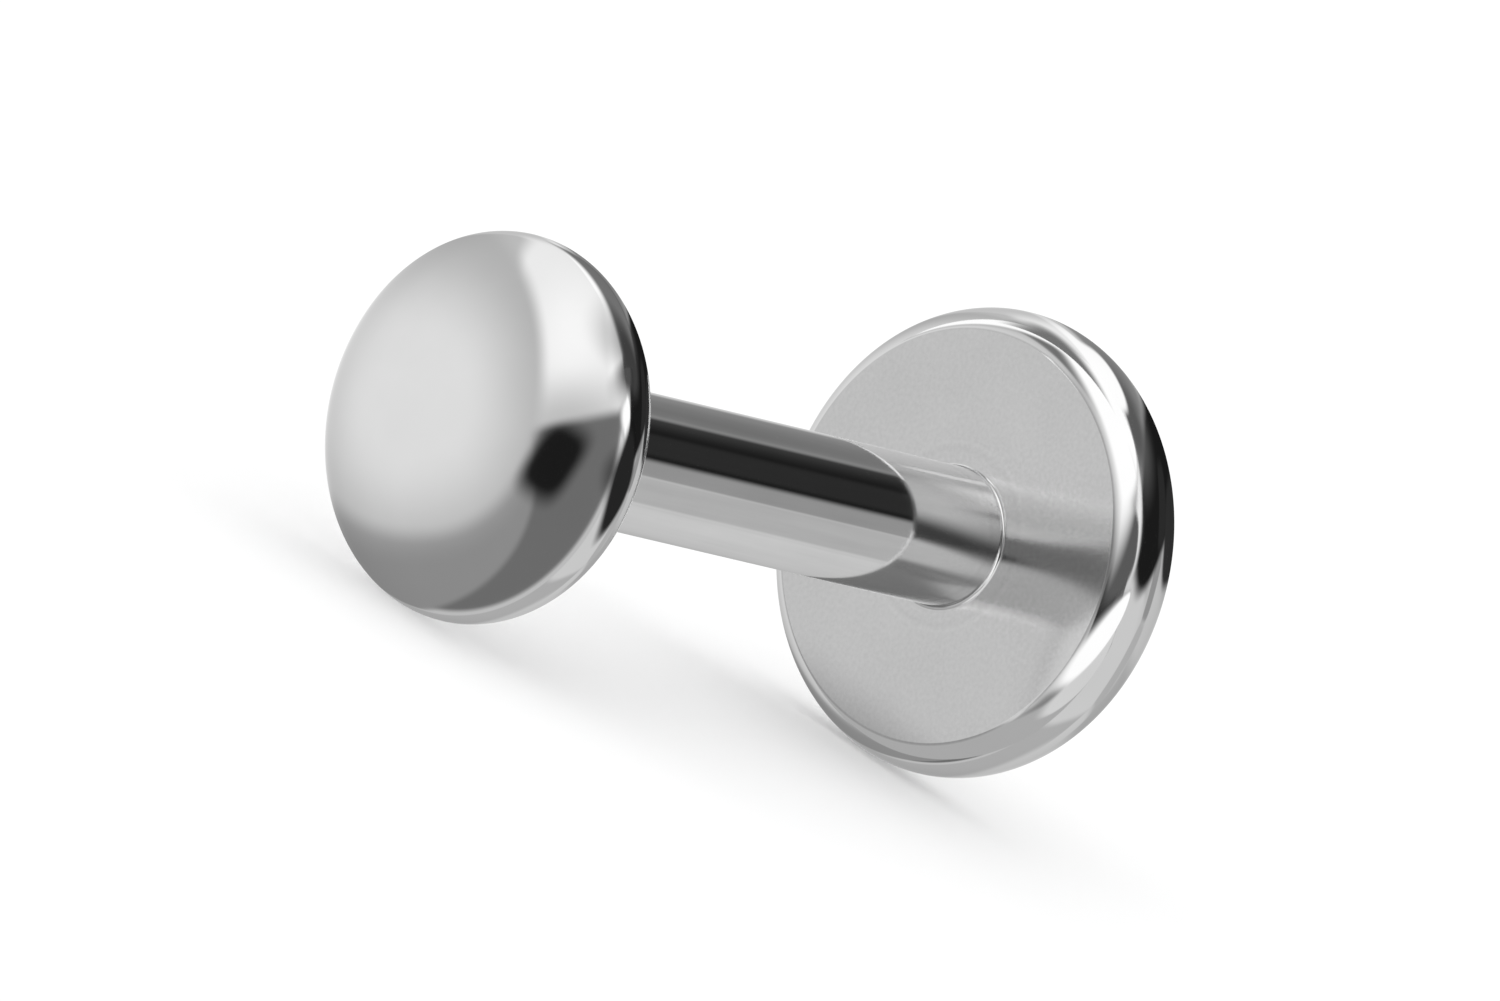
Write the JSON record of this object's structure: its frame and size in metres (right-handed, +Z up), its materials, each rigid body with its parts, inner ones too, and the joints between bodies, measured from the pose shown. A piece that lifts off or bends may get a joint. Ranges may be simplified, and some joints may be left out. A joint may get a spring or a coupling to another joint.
{
  "type": "labret stud",
  "caption": "Small metal labret stud: round post soldered to a flat-backed base disc, with a domed top disc on a push-in pin.",
  "frame": {"origin": "centre of the footprint, on the surface that the stud lies on, touched by the rims of both discs", "axes": "+X along the stud towards the base disc, +Z up; the stud's own axis rises 3.03 degrees towards +X, because the base disc is the larger one"},
  "size_m": [0.0082, 0.004, 0.004],
  "materials": {
    "post_metal": "mirror-polished neutral steel, with a satin turned facing side on the base disc",
    "top_disc_metal": "mirror-polished neutral steel"
  },
  "bodies": {
    "top": {"top_disc_with_pin": "top_disc_metal"},
    "post": {"post_with_base_disc": "post_metal"}
  },
  "joints": [
    {"name": "post_pull", "type": "slide", "parent": "top", "child": "post", "axis": [0.9986, 0, 0.0529], "range_m": [0, 0.012]}
  ]
}
